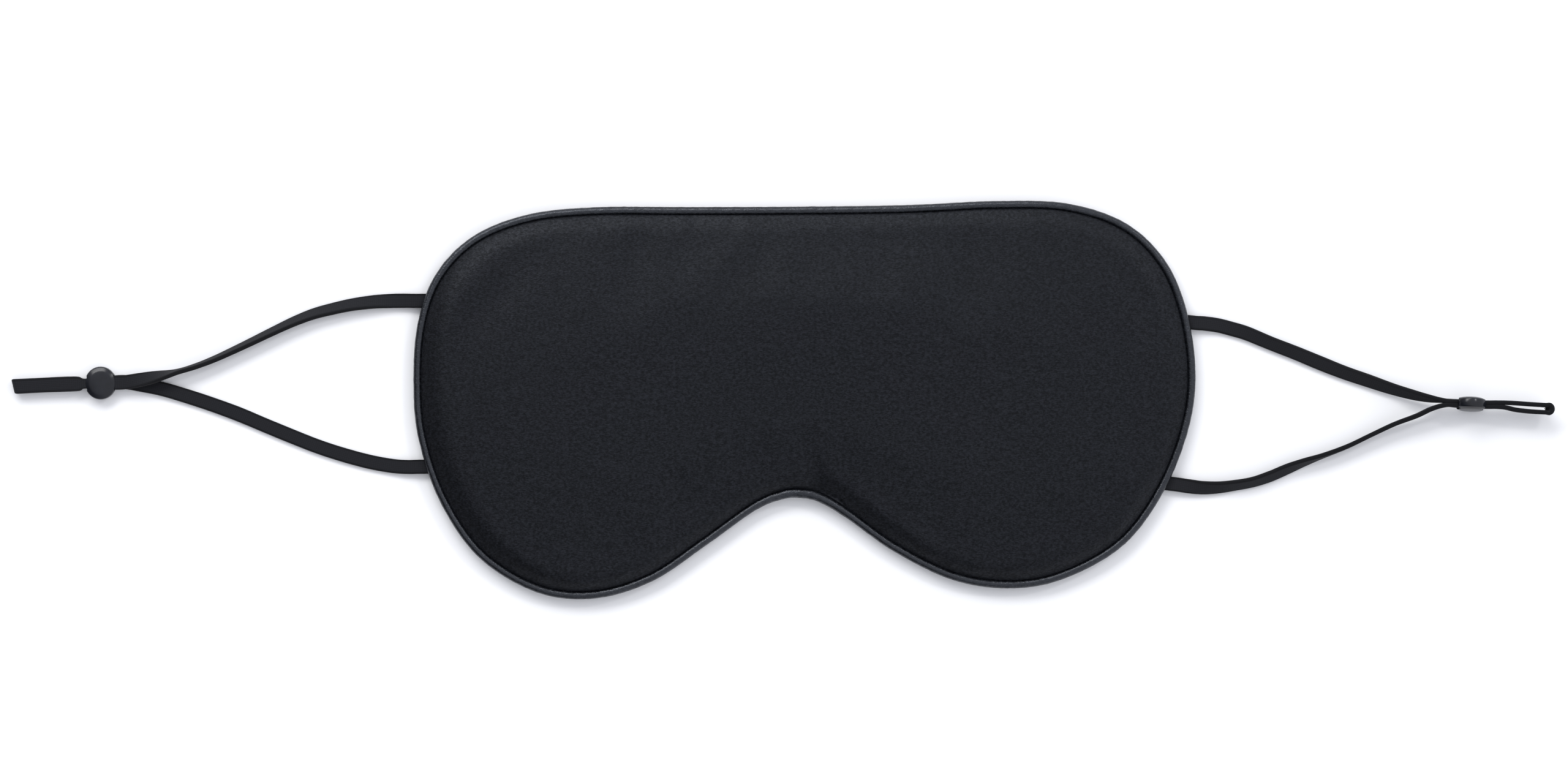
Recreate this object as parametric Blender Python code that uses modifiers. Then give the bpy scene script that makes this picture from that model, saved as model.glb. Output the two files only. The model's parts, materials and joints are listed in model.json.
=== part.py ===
"""A padded satin sleep mask with a piped edge and two elastic ear loops, each held by a sliding bead.

The mask lies face up. The origin is at the middle of its outline, on its back, +X points to the
wearer's left ear, +Y to the forehead and +Z out of the face side. Left and right in the names are
as seen by someone who faces the mask, so the left loop, at -X, goes round the wearer's right ear.
The dimensions are in millimetres, and the meshes in metres.
"""

import math

import bmesh
import bpy
from mathutils import Matrix, Vector

MM = 0.001
COLLECTION_NAME = "sleep_mask"
CUTTER_COLLECTION_NAME = "sleep_mask_cutters"

# The pad's outline in mm, the outer edge of the piping, clockwise from the middle of the forehead
# edge. It is cut and sewn by hand, so its halves differ a little and the nose notch leans to -X.
PAD_OUTLINE = [
    (-0.9, 53.5), (29.1, 53.4), (55.0, 54.1), (74.1, 53.0), (89.8, 47.4), (100.6, 36.9),
    (106.4, 22.9), (108.6, 5.8), (106.5, -9.7), (99.4, -27.0), (88.3, -41.6), (72.7, -50.5),
    (57.6, -53.5), (40.8, -51.1), (24.2, -42.8), (10.9, -33.1), (3.8, -28.8), (-0.9, -27.5),
    (-6.2, -27.6), (-14.3, -30.7), (-27.9, -40.0), (-43.2, -49.8), (-59.4, -54.3), (-75.3, -52.3),
    (-91.0, -42.5), (-101.5, -27.1), (-107.3, -9.5), (-108.5, 5.8), (-107.1, 22.6), (-101.8, 36.4),
    (-91.3, 46.8), (-75.9, 52.6), (-56.9, 54.3), (-30.9, 53.9),
]
SAMPLES_PER_SPAN = 2

# The layers of the pad. An inset is a distance in from the outline.
COVER_THICKNESS = 0.4
LINER_THICKNESS = 0.3
LAYER_GAP = 0.3
RIM_INSET = 2.3          # where the covers end, just inside the piping
DOME_INSET = 24.0        # from here inwards the face side is level
DOME_EDGE = 4.3          # height of the front cover at its rim
DOME_TOP = 9.6           # height of the front cover in the middle
DOME_POWER = 2.2         # how quickly the pad fills out from its edge
DOME_RINGS = (17.5, 12.0, 7.5, 4.2)          # insets of the front cover's rings between those two
BACK_FLAT_INSETS = (12.0, 6.0)               # the back cover lies flat from its middle out to here
BACK_EDGE = ((4.0, 0.5), (RIM_INSET, 0.8))   # and lifts to the seam: inset and inner height
LINER_FLAT_INSETS = (14.0, 10.5)
LINER_EDGE_INSETS = (8.0, 3.0)               # the liner's edge lies on the lower flange
LINER_EDGE_HEIGHT = 2.5
FILLING_RINGS = (17.5, 12.0, 8.4)            # insets of the filling's rings, the last at its edge
FILLING_EDGE_HEIGHT = 2.9                    # lower corner of the filling's edge
FILLING_FLAT_INSET = 11.0                    # from here inwards the filling lies on the liner

# The piping: a cord in a folded bias strip, whose two flanges are caught in the seam.
PIPING_RADIUS = 1.0
PIPING_HEIGHT = 3.2
STRIP_THICKNESS = 0.25
FLANGE_INSET = 6.5
FLANGE_HALF_GAP = 0.25
CORE_RADIUS = 0.6
THREAD_SIZE = 0.3
THREAD_INSET = 3.0

# The elastic band, a flat braid.
BAND_WIDTH = 4.0
BAND_THICKNESS = 1.05
BAND_EDGE = 0.3          # how far its edges are rounded
STRAND_SPACING = 1.45    # between the middles of the two strands where the band is doubled
SEWN_HEIGHT = 1.5        # middle of the band where it leaves the seam, and the swing axis
SEWN_LENGTH = 8.3
SEWN_START = 0.95        # from the swing axis in to the sewn end
LEG_START = 0.15         # from the swing axis out to the start of the loop

# The bead that slides on each doubled band.
BEAD_RADIUS = 4.6
BEAD_THICKNESS = 3.9
SLOT_WIDTH = 4.4
SLOT_HEIGHT = 2.8
SLOT_CORNER = 0.4
DOUBLED_INWARD = 7.0     # how far the strands lie together on the mask's side of the bead

# Each leg of a loop runs outwards from its swing axis to the bead, as rows of x, y, the lift of
# its lowest edge over the surface, and its roll in degrees: 0 is flat and 90 is on edge.
LOOPS = {
    "left": {
        "bead": (-195.4, 7.9),
        "heading": 181.0,
        "tail": 23.2,
        "roll": 0.0,
        "bead_height": 2.05,
        "upper": [
            (-107.4, 29.2, 0.975, 0), (-110.8, 29.3, 0.7, 0), (-114.5, 29.3, 0.2, 0),
            (-119.5, 29.1, 0.0, 0), (-125.5, 28.5, 0.0, 0), (-131.0, 27.4, 0.0, 0),
            (-136.2, 26.0, 0.0, 4), (-141.6, 23.9, 0.0, 14), (-147.2, 21.4, 0.0, 28),
            (-153.0, 18.8, 0.0, 42), (-158.7, 16.2, 0.0, 54), (-164.0, 13.9, 0.1, 60),
            (-169.2, 12.0, 0.5, 56), (-174.2, 10.5, 0.9, 44), (-179.2, 9.3, 1.45, 26),
            (-184.2, 8.5, 2.0, 10),
        ],
        "lower": [
            (-107.4, -16.9, 0.975, 0), (-110.8, -16.9, 0.7, 0), (-114.5, -16.6, 0.2, 0),
            (-119.0, -15.9, 0.0, 0), (-123.5, -14.8, 0.0, 0), (-129.5, -12.9, 0.0, 0),
            (-135.5, -10.6, 0.0, 0), (-141.5, -8.1, 0.0, 0), (-149.4, -4.5, 0.0, 0),
            (-157.5, -0.9, 0.0, 0), (-165.5, 2.6, 0.0, 0), (-172.5, 5.0, 0.1, 0),
            (-178.5, 6.5, 0.3, 0), (-183.9, 7.4, 0.55, 0),
        ],
    },
    "right": {
        "bead": (184.7, -4.6),
        "heading": -4.0,
        "tail": 21.9,
        "roll": 90.0,
        "bead_height": 4.65,
        "upper": [
            (109.0, 19.3, 0.975, 0), (111.4, 19.1, 0.7, 0), (115.3, 18.6, 0.2, 0),
            (119.2, 17.5, 0.0, 0), (123.2, 15.9, 0.0, 0), (129.5, 12.8, 0.0, 0),
            (136.5, 9.7, 0.0, 0), (143.3, 6.8, 0.0, 0), (149.8, 4.3, 0.0, 4),
            (156.5, 1.9, 0.15, 14), (162.8, -0.3, 0.5, 30), (168.6, -1.9, 1.1, 48),
            (173.2, -2.8, 1.8, 68),
        ],
        "lower": [
            (103.0, -25.5, 0.975, 0), (106.0, -26.0, 0.7, 0), (110.0, -26.5, 0.2, 0),
            (114.5, -26.6, 0.0, 0), (119.1, -26.2, 0.0, 0), (124.0, -25.3, 0.0, 6),
            (129.0, -24.0, 0.0, 20), (134.1, -22.3, 0.0, 45), (138.8, -20.3, 0.0, 68),
            (144.0, -18.1, 0.0, 80), (150.5, -15.4, 0.0, 84), (157.0, -12.5, 0.3, 86),
            (163.5, -9.8, 0.9, 88), (169.5, -7.4, 1.6, 90), (173.8, -5.6, 2.15, 90),
        ],
    },
}

COLOURS = {
    "satin": ((0.014, 0.014, 0.017), 0.38),
    "lining": ((0.02, 0.02, 0.02), 0.8),
    "wadding": ((0.75, 0.74, 0.70), 0.95),
    "cotton_cord": ((0.55, 0.53, 0.48), 0.9),
    "thread": ((0.012, 0.012, 0.013), 0.6),
    "elastic": ((0.011, 0.011, 0.012), 0.85),
    "silicone": ((0.016, 0.018, 0.023), 0.22),
}


# Scene and materials


def start_scene():
    for obj in list(bpy.data.objects):
        bpy.data.objects.remove(obj, do_unlink=True)
    for name in (COLLECTION_NAME, CUTTER_COLLECTION_NAME):
        collection = bpy.data.collections.new(name)
        bpy.context.scene.collection.children.link(collection)


def material(name):
    made = bpy.data.materials.get(name)
    if made:
        return made
    made = bpy.data.materials.new(name)
    made.use_nodes = True
    shader = made.node_tree.nodes["Principled BSDF"]
    colour, roughness = COLOURS[name]
    shader.inputs["Base Color"].default_value = (*colour, 1.0)
    shader.inputs["Roughness"].default_value = roughness
    shader.inputs["Metallic"].default_value = 0.0
    return made


def add_object(name, mesh, material_name, origin=(0.0, 0.0, 0.0)):
    """Puts the mesh, whose points are in the object's own frame, in the scene at origin."""
    obj = bpy.data.objects.new(name, mesh)
    obj.location = origin
    mesh.materials.append(material(material_name))
    bpy.data.collections[COLLECTION_NAME].objects.link(obj)
    return obj


def finished_mesh(name, bm, smooth=True):
    bmesh.ops.recalc_face_normals(bm, faces=bm.faces)
    mesh = bpy.data.meshes.new(name)
    bm.to_mesh(mesh)
    bm.free()
    if smooth:
        mesh.shade_smooth()
        mesh.set_sharp_from_angle(angle=math.radians(50))
    return mesh


# Curves


def through_points(rows, samples, closed=False):
    """Catmull-Rom curve through rows of numbers. An open curve includes both of its ends."""
    count = len(rows)
    made = []
    for i in range(count if closed else count - 1):
        if closed:
            a, b, c, d = (rows[(i + k) % count] for k in (-1, 0, 1, 2))
        else:
            a, b, c, d = rows[max(i - 1, 0)], rows[i], rows[i + 1], rows[min(i + 2, count - 1)]
        for step in range(samples):
            t = step / samples
            made.append([
                0.5 * (2 * q + (r - p) * t + (2 * p - 5 * q + 4 * r - s) * t * t
                       + (3 * q - p - 3 * r + s) * t * t * t)
                for p, q, r, s in zip(a, b, c, d)
            ])
    if not closed:
        made.append(list(rows[-1]))
    return made


def outline():
    """Points round the pad's outline with the direction inwards at each, in mm."""
    points = [Vector(p) for p in through_points(PAD_OUTLINE, SAMPLES_PER_SPAN, closed=True)]
    made = []
    for i, point in enumerate(points):
        along = points[(i + 1) % len(points)] - points[i - 1]
        made.append((point, Vector((along.y, -along.x)).normalized()))
    return made


OUTLINE = outline()


# The pad's layers, each one a set of rings that follow the outline


def ring(bm, inset, height):
    return [bm.verts.new(((p + n * inset).to_3d() + Vector((0, 0, height))) * MM) for p, n in OUTLINE]


def bridge(bm, one, other):
    for i in range(len(one)):
        bm.faces.new((one[i - 1], one[i], other[i], other[i - 1]))


def ring_tube(name, section, material_name):
    """A closed tube round the pad. section holds the inset and height of each of its corners."""
    bm = bmesh.new()
    rings = [ring(bm, *corner) for corner in section]
    for i in range(len(rings)):
        bridge(bm, rings[i - 1], rings[i])
    return add_object(name, finished_mesh(name, bm), material_name)


def layer(name, section, material_name, thickness=None):
    """A pad that section describes from the middle of one side, or a sheet of that thickness."""
    bm = bmesh.new()
    rings = [ring(bm, *corner) for corner in section]
    for one, other in zip(rings, rings[1:]):
        bridge(bm, one, other)
    bm.faces.new(rings[0])
    if thickness is None:
        bm.faces.new(rings[-1])
        return add_object(name, finished_mesh(name, bm), material_name)
    bmesh.ops.recalc_face_normals(bm, faces=bm.faces)
    if sum((face.normal.z * face.calc_area() for face in bm.faces), 0.0) < 0:
        bmesh.ops.reverse_faces(bm, faces=bm.faces)
    mesh = bpy.data.meshes.new(name)
    bm.to_mesh(mesh)
    bm.free()
    obj = add_object(name, mesh, material_name)
    solidify = obj.modifiers.new("thickness", "SOLIDIFY")
    solidify.thickness = thickness * MM
    solidify.offset = -1.0
    return obj


def dome_height(inset):
    share = min(1.0, max(0.0, (inset - RIM_INSET) / (DOME_INSET - RIM_INSET)))
    return DOME_EDGE + (DOME_TOP - DOME_EDGE) * (1 - (1 - share) ** DOME_POWER)


def make_covers():
    front = [(inset, dome_height(inset)) for inset in (DOME_INSET, *DOME_RINGS, RIM_INSET)]
    layer("front_cover", front, "satin", COVER_THICKNESS)
    back = [(inset, COVER_THICKNESS) for inset in BACK_FLAT_INSETS] + list(BACK_EDGE)
    layer("back_cover", back, "satin", COVER_THICKNESS)


def make_filling():
    liner_top = COVER_THICKNESS + LAYER_GAP + LINER_THICKNESS
    liner = [(inset, liner_top) for inset in LINER_FLAT_INSETS]
    liner += [(inset, LINER_EDGE_HEIGHT) for inset in LINER_EDGE_INSETS]
    layer("light_block_liner", liner, "lining", LINER_THICKNESS)
    below_cover = COVER_THICKNESS + 1.5 * LAYER_GAP
    above_liner = liner_top + LAYER_GAP
    top = [(inset, dome_height(inset) - below_cover) for inset in (DOME_INSET, *FILLING_RINGS)]
    bottom = [(FILLING_RINGS[-1], FILLING_EDGE_HEIGHT)]
    bottom += [(inset, above_liner) for inset in (FILLING_FLAT_INSET, DOME_INSET)]
    layer("foam_filling", top + bottom, "wadding")


def arc(radius, from_deg, to_deg, steps):
    """Corners on a circle about the piping's middle, where 0 points straight out of the pad."""
    made = []
    for i in range(steps + 1):
        angle = math.radians(from_deg + (to_deg - from_deg) * i / steps)
        made.append((PIPING_RADIUS - radius * math.cos(angle), PIPING_HEIGHT + radius * math.sin(angle)))
    return made


def make_piping():
    outer_half = FLANGE_HALF_GAP + STRIP_THICKNESS
    inner_radius = PIPING_RADIUS - STRIP_THICKNESS
    outer_end = 180 - math.degrees(math.asin(outer_half / PIPING_RADIUS))
    inner_end = 180 - math.degrees(math.asin(FLANGE_HALF_GAP / inner_radius))
    strip = [(FLANGE_INSET, PIPING_HEIGHT + outer_half)]
    strip += arc(PIPING_RADIUS, outer_end, -outer_end, 7)
    strip += [(FLANGE_INSET, PIPING_HEIGHT - outer_half), (FLANGE_INSET, PIPING_HEIGHT - FLANGE_HALF_GAP)]
    strip += arc(inner_radius, -inner_end, inner_end, 7)
    strip += [(FLANGE_INSET, PIPING_HEIGHT + FLANGE_HALF_GAP)]
    ring_tube("piping_cover", strip, "satin")
    ring_tube("piping_cord", arc(CORE_RADIUS, 0, 300, 5), "cotton_cord")
    half = THREAD_SIZE / 2
    thread = [
        (THREAD_INSET + side * half, PIPING_HEIGHT + rise * half)
        for side, rise in ((-1, -1), (1, -1), (1, 1), (-1, 1))
    ]
    ring_tube("seam_thread", thread, "thread")


# The elastic loops


def band_section():
    """Corners of the flat band as shares of its width direction and its face direction, in mm."""
    across, up, edge = BAND_WIDTH / 2, BAND_THICKNESS / 2, BAND_EDGE
    quarter = [(across, up - edge), (across - edge, up)]
    half = quarter + [(-x, y) for x, y in reversed(quarter)]
    return half + [(-x, -y) for x, y in half]


def resting_height(roll):
    """Height of the band's middle when its lowest edge touches the surface."""
    return BAND_WIDTH / 2 * abs(math.sin(roll)) + BAND_THICKNESS / 2 * abs(math.cos(roll))


def heading_vector(loop):
    angle = math.radians(loop["heading"])
    return Vector((math.cos(angle), math.sin(angle), 0.0))


def across_vector(along, roll):
    """The direction across the band's face, for a band that runs along and is rolled by roll."""
    level = Vector((0, 0, 1)).cross(along).normalized()
    return (level * math.cos(roll) + Vector((0, 0, 1)) * math.sin(roll)).normalized()


def stack_vector(loop):
    """The direction from the lower leg's strand to the upper leg's strand at the bead."""
    along = heading_vector(loop)
    across = across_vector(along, math.radians(loop["roll"]))
    stack = along.cross(across)
    return stack if stack.dot(Vector((0, 1, 1))) > 0 else -stack


def bead_centre(loop):
    return Vector((*loop["bead"], loop["bead_height"]))


def leg_stations(loop, leg, side):
    """Middle and across direction at each station of a leg, from its swing axis to the tail's end."""
    along, stack = heading_vector(loop), stack_vector(loop)
    strand = bead_centre(loop) + stack * side * STRAND_SPACING / 2
    rows = []
    for x, y, lift, roll in loop[leg]:
        rows.append((x, y, lift + resting_height(math.radians(roll)), roll))
    for distance in (-DOUBLED_INWARD, 0.0):
        rows.append((*(strand + along * distance), loop["roll"]))
    rows = through_points(rows, SAMPLES_PER_SPAN)[:-SAMPLES_PER_SPAN]
    for row in rows:
        row[2] = max(row[2], resting_height(math.radians(row[3])))
    first, second = Vector(rows[0][:3]), Vector(rows[1][:3])
    start = first + (second - first).normalized() * LEG_START
    rows[0][:3] = start
    for distance in (0.0, loop["tail"] / 2, loop["tail"]):
        rows.append([*(strand + along * distance), loop["roll"]])
    points = [Vector(row[:3]) for row in rows]
    stations = []
    for i, row in enumerate(rows):
        ahead = points[min(i + 1, len(points) - 1)] - points[max(i - 1, 0)]
        stations.append((points[i], across_vector(ahead.normalized(), math.radians(row[3]))))
    return stations


def fold_stations(loop):
    """The half turn at the end of the tail, from the upper leg's strand to the lower leg's."""
    along, stack = heading_vector(loop), stack_vector(loop)
    across = across_vector(along, math.radians(loop["roll"]))
    middle = bead_centre(loop) + along * loop["tail"]
    steps = 6
    made = []
    for i in range(1, steps):
        angle = math.pi * i / steps
        offset = stack * math.cos(angle) + along * math.sin(angle)
        made.append((middle + offset * STRAND_SPACING / 2, across))
    return made


def swept_band(name, stations, origin):
    bm = bmesh.new()
    section = band_section()
    rings = []
    for i, (point, across) in enumerate(stations):
        before, after = stations[max(i - 1, 0)][0], stations[min(i + 1, len(stations) - 1)][0]
        along = (after - before).normalized()
        across = (across - along * across.dot(along)).normalized()
        face = along.cross(across)
        rings.append([bm.verts.new((point + across * x + face * y - origin) * MM) for x, y in section])
    for one, other in zip(rings, rings[1:]):
        bridge(bm, one, other)
    bm.faces.new(rings[0])
    bm.faces.new(rings[-1])
    return add_object(name, finished_mesh(name, bm), "elastic", origin * MM)


def swing_axis(loop):
    """Where the two legs leave the seam: the ends of the line that the loop swings about."""
    return [Vector((*loop[leg][0][:2], SEWN_HEIGHT)) for leg in ("upper", "lower")]


def make_sewn_ends(side, loop):
    """The ends of the band that are caught in the seam, under the piping's flanges."""
    upper, lower = swing_axis(loop)
    outwards = (upper - lower).cross(Vector((0, 0, 1))).normalized()
    if outwards.dot(heading_vector(loop)) < 0:
        outwards = -outwards
    across = across_vector(outwards, 0.0)
    for leg, pivot in (("upper", upper), ("lower", lower)):
        stations = [(pivot - outwards * d, across) for d in (SEWN_START, SEWN_START + SEWN_LENGTH)]
        swept_band(f"{side}_{leg}_sewn_end", stations, pivot)


def make_loop(side, loop):
    upper = leg_stations(loop, "upper", 1)
    lower = leg_stations(loop, "lower", -1)
    pivots = swing_axis(loop)
    swept_band(f"{side}_ear_band", upper + fold_stations(loop) + lower[::-1], (pivots[0] + pivots[1]) / 2)


# The beads


def slot_cutter(name):
    """A flat slot through the whole bead along its own X axis, with rounded corners."""
    bpy.ops.mesh.primitive_cube_add(size=1.0)
    cutter = bpy.context.object
    cutter.name = name
    cutter.data.transform(Matrix.Diagonal((4 * BEAD_RADIUS * MM, SLOT_WIDTH * MM, SLOT_HEIGHT * MM, 1)))
    bevel = cutter.modifiers.new("rounded", "BEVEL")
    bevel.width = SLOT_CORNER * MM
    bevel.segments = 2
    cutter.hide_render = True
    cutter.display_type = "WIRE"
    for collection in list(cutter.users_collection):
        collection.objects.unlink(cutter)
    bpy.data.collections[CUTTER_COLLECTION_NAME].objects.link(cutter)
    return cutter


def bead_profile():
    """The bead's outer side from the middle of its top face to the middle of its bottom one."""
    half = BEAD_THICKNESS / 2
    top = [(0.0, half), (0.72, 0.98 * half), (0.90, 0.85 * half), (0.98, 0.52 * half), (1.0, 0.15 * half)]
    top = [(share * BEAD_RADIUS, height) for share, height in top]
    return top + [(x, -z) for x, z in reversed(top)]


def make_bead(side, loop):
    """A slightly domed disc on the doubled band. Its own X axis points along the band's tail."""
    along, stack = heading_vector(loop), stack_vector(loop)
    mesh = bpy.data.meshes.new(f"{side}_bead")
    profile = [Vector((x, 0.0, z)) * MM for x, z in bead_profile()]
    mesh.from_pydata(profile, [(i, i + 1) for i in range(len(profile) - 1)], [])
    bead = add_object(f"{side}_bead", mesh, "silicone", bead_centre(loop) * MM)
    cutter = slot_cutter(f"{side}_bead_slot")
    cutter.location = bead.location
    for obj in (bead, cutter):
        obj.rotation_euler = basis(along, stack)
    screw = bead.modifiers.new("turned", "SCREW")
    screw.steps = 24
    screw.render_steps = 24
    screw.use_merge_vertices = True
    screw.merge_threshold = 0.00001
    slot = bead.modifiers.new("slot", "BOOLEAN")
    slot.operation = "DIFFERENCE"
    slot.object = cutter


def basis(x_axis, z_axis):
    """The rotation whose local X and Z axes point along these two directions."""
    y_axis = z_axis.cross(x_axis)
    rows = zip(x_axis, y_axis, z_axis)
    return Matrix([list(row) for row in rows]).to_euler()


def main():
    start_scene()
    make_covers()
    make_filling()
    make_piping()
    for side, loop in LOOPS.items():
        make_sewn_ends(side, loop)
        make_loop(side, loop)
        make_bead(side, loop)


main()
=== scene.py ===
"""The looks of a black satin sleep mask with two elastic ear loops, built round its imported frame.

The mask lies face up on a pale floor. +X is the wearer's left, +Y the forehead, +Z the face side.
The dimensions are in millimetres, and the meshes in metres.
"""

import json
import math

import bmesh
import bpy
import numpy as np
from mathutils import Matrix, Vector, noise
from mathutils.geometry import delaunay_2d_cdt


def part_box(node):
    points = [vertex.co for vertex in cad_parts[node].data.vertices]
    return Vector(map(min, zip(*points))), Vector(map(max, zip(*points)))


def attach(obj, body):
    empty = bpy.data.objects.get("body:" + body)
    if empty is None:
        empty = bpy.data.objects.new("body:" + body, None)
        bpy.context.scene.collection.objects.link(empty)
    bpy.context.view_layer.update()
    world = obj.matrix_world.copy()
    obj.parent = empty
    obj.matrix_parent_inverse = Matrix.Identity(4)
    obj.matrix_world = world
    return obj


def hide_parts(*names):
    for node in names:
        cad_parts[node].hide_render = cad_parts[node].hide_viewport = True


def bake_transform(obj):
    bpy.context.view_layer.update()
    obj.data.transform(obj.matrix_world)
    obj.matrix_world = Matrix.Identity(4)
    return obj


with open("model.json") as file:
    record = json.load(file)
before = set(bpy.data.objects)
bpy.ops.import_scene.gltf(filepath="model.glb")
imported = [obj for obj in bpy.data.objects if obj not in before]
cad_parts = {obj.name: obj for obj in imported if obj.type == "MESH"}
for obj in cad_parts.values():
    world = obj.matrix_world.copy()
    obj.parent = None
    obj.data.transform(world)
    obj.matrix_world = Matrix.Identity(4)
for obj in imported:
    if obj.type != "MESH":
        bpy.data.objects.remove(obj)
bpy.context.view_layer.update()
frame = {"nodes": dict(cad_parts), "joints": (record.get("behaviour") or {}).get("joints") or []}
JOINTS = {joint["name"]: joint for joint in frame["joints"]}

MM = 0.001
UP = Vector((0, 0, 1))

# The camera looks straight down at the mask, which lies turned a little on the floor.
VIEW_WIDTH = 435.2
VIEW_CENTRE = (-5.7, 2.1)
VIEW_TURN = -1.0
CAMERA_DISTANCE = 1500.0
SENSOR_WIDTH = 36.0
DIM_SIDE = (-0.87, -0.5, 0.0)                    # the studio is darkest on this side

# The pad's outline, the outer edge of the piping, clockwise from the middle of the forehead edge.
PAD_OUTLINE = [
    (-0.9, 53.5), (29.1, 53.4), (55.0, 54.1), (74.1, 53.0), (89.8, 47.4), (100.6, 36.9),
    (106.4, 22.9), (108.6, 5.8), (106.5, -9.7), (99.4, -27.0), (88.3, -41.6), (72.7, -50.5),
    (57.6, -53.5), (40.8, -51.1), (24.2, -42.8), (10.9, -33.1), (3.8, -28.8), (-0.9, -27.5),
    (-6.2, -27.6), (-14.3, -30.7), (-27.9, -40.0), (-43.2, -49.8), (-59.4, -54.3), (-75.3, -52.3),
    (-91.0, -42.5), (-101.5, -27.1), (-107.3, -9.5), (-108.5, 5.8), (-107.1, 22.6), (-101.8, 36.4),
    (-91.3, 46.8), (-75.9, 52.6), (-56.9, 54.3), (-30.9, 53.9),
]
OUTLINE_SAMPLES = 10
OUTLINE_SPACING = 1.9

# The covers. An inset is a distance in from the outline.
SHEET_INSET = 2.66       # from here inwards a cover is one open sheet
SKIRT_INSETS = (2.46, 2.34, 2.28, 2.25)          # the rings outside it, which turn into the seam
GRID_SPACING = 2.3
RIM_CLEARANCE = 0.62     # how far the grid keeps from a sheet's rim, in spacings of the grid
NOTCH_RETREAT = 0.5      # how far the piping pushes a cover back at the top of the notch
COVER_THICKNESS = 0.3
FRONT_EDGE = 4.55
FRONT_RISE = 3.5         # from the edge to the middle of the pad, over CROWN_RUN
CROWN_RUN = 40.0
EDGE_RISE = 1.9          # how much of it is in the steep edge, and how wide that edge is
EDGE_RUN = 4.0
FRONT_SKIRT_HEIGHTS = (4.36, 4.14, 3.92, 3.72)
BACK_EDGE = 1.7
BACK_SKIRT_HEIGHTS = (2.0, 2.3, 2.52, 2.66)
BACK_FLAT_INSET = 10.0
BAND_POCKET_HEIGHT = 0.62                        # the back cover's edge passes under each band
LOWEST = 0.02            # the back rests on the floor
CLOTH_FRAMES = 20
CLOTH_SMOOTHING = 4

# The wadding between the covers.
WADDING_INSET = 7.0
WADDING_SPACING = 2.6
WADDING_EDGE = 3.2
WADDING_ROUNDING = 3.0
WADDING_BOTTOM = 1.25
WADDING_BELOW_COVER = 1.15

# The piping: a cord in a folded bias strip, whose two flanges are caught in the seam.
PIPING_RADIUS = 1.12
PIPING_HEIGHT = 3.2
STRIP_THICKNESS = 0.2
FLANGE_INSET = 6.3
FLANGE_HALF_GAP = 0.25
PIPING_STEP = 0.42
NOTCH_SWELL = 0.24       # how much thicker the piping is at the top of the notch
CORD_RADIUS = 0.66
CORD_STEP = 0.7
CORD_LAY = 3.5           # the length in which the cord's plies turn once
CORD_PLY_DEPTH = 0.05

# The elastic band, a flat braid, and the two strands of it that lie together at each bead.
BAND_WIDTH = 4.0
BAND_THICKNESS = 1.3
BAND_EDGE = 0.34         # the width of a rounded selvedge
BAND_RIBS = 7
RIB_RELIEF = 0.035
STRAND_SPACING = 1.17
SEWN_LENGTH = 9.0
LEG_SAMPLES = 9
DOUBLED_INWARD = 7.0
DOUBLED_NEAR = 3.6
FOLD_STEPS = 14

# The beads.
BEAD_RADIUS = 4.6
BEAD_THICKNESS = 3.9
BEAD_STEPS = 96
BEAD_ROUNDING = 0.55
BEAD_DOME = 0.40
BEAD_BEVEL = 0.20
BEAD_DRAFT = 0.07        # how much narrower the rim is above and below its middle
BEAD_LEAN = {"left": 0.0, "right": -8.0}
BEAD_ALONG = 0.955       # a bead is a little narrower along the band than across it
SLOT_WIDTH = 4.5
SLOT_HEIGHT = {"left": 2.6, "right": 3.1}
SLOT_CORNER = 0.7
SLOT_LIP = 0.22

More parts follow.
